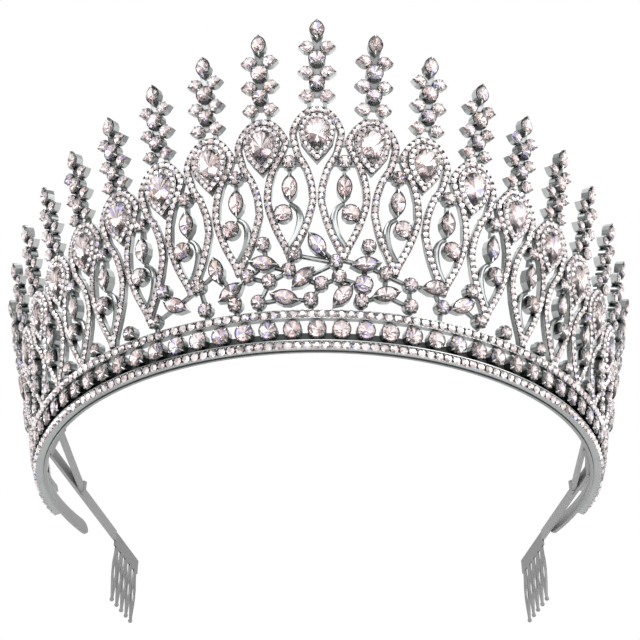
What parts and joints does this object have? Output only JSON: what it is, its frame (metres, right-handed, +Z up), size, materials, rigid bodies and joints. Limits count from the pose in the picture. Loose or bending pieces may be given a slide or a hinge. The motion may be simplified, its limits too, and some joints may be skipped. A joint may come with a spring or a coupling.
{
  "type": "pageant crown",
  "caption": "Flared openwork crown on a two-row stone band, with pear stones, pointed spires, looped strands, a flower motif in front and hair combs on arms behind.",
  "frame": {"origin": "centre of the ring in the plane of its lower rim", "axes": "+Z up along the ring's axis as worn, -Y towards the front, +X towards the wearer's left"},
  "size_m": [0.1786, 0.1564, 0.0993],
  "materials": {
    "plated_metal": "polished silver-tone plating, darker in the recesses",
    "comb_metal": "plain satin",
    "clear_stone": "faceted and polished, faint pink tint"
  },
  "bodies": {
    "root": {"crown_frame": "plated_metal", "comb_left": "comb_metal", "comb_right": "comb_metal", "spire_tip_stones": "clear_stone", "spire_round_stones": "clear_stone", "loop_top_stones": "clear_stone", "loop_marquise_stones": "clear_stone", "loop_round_stones": "clear_stone", "band_stones_left": "clear_stone", "band_stones_right": "clear_stone", "flower_marquise_stones": "clear_stone", "flower_round_stones": "clear_stone", "base_round_stones": "clear_stone", "pear_stone_left_11": "clear_stone", "pear_stone_left_10": "clear_stone", "pear_stone_left_9": "clear_stone", "pear_stone_left_8": "clear_stone", "pear_stone_left_7": "clear_stone", "pear_stone_left_6": "clear_stone", "pear_stone_left_5": "clear_stone", "pear_stone_left_4": "clear_stone", "pear_stone_left_3": "clear_stone", "pear_stone_left_2": "clear_stone", "pear_stone_left_1": "clear_stone", "pear_stone_mid": "clear_stone", "pear_stone_right_1": "clear_stone", "pear_stone_right_2": "clear_stone", "pear_stone_right_3": "clear_stone", "pear_stone_right_4": "clear_stone", "pear_stone_right_5": "clear_stone", "pear_stone_right_6": "clear_stone", "pear_stone_right_7": "clear_stone", "pear_stone_right_8": "clear_stone", "pear_stone_right_9": "clear_stone", "pear_stone_right_10": "clear_stone", "pear_stone_right_11": "clear_stone"}
  },
  "joints": []
}
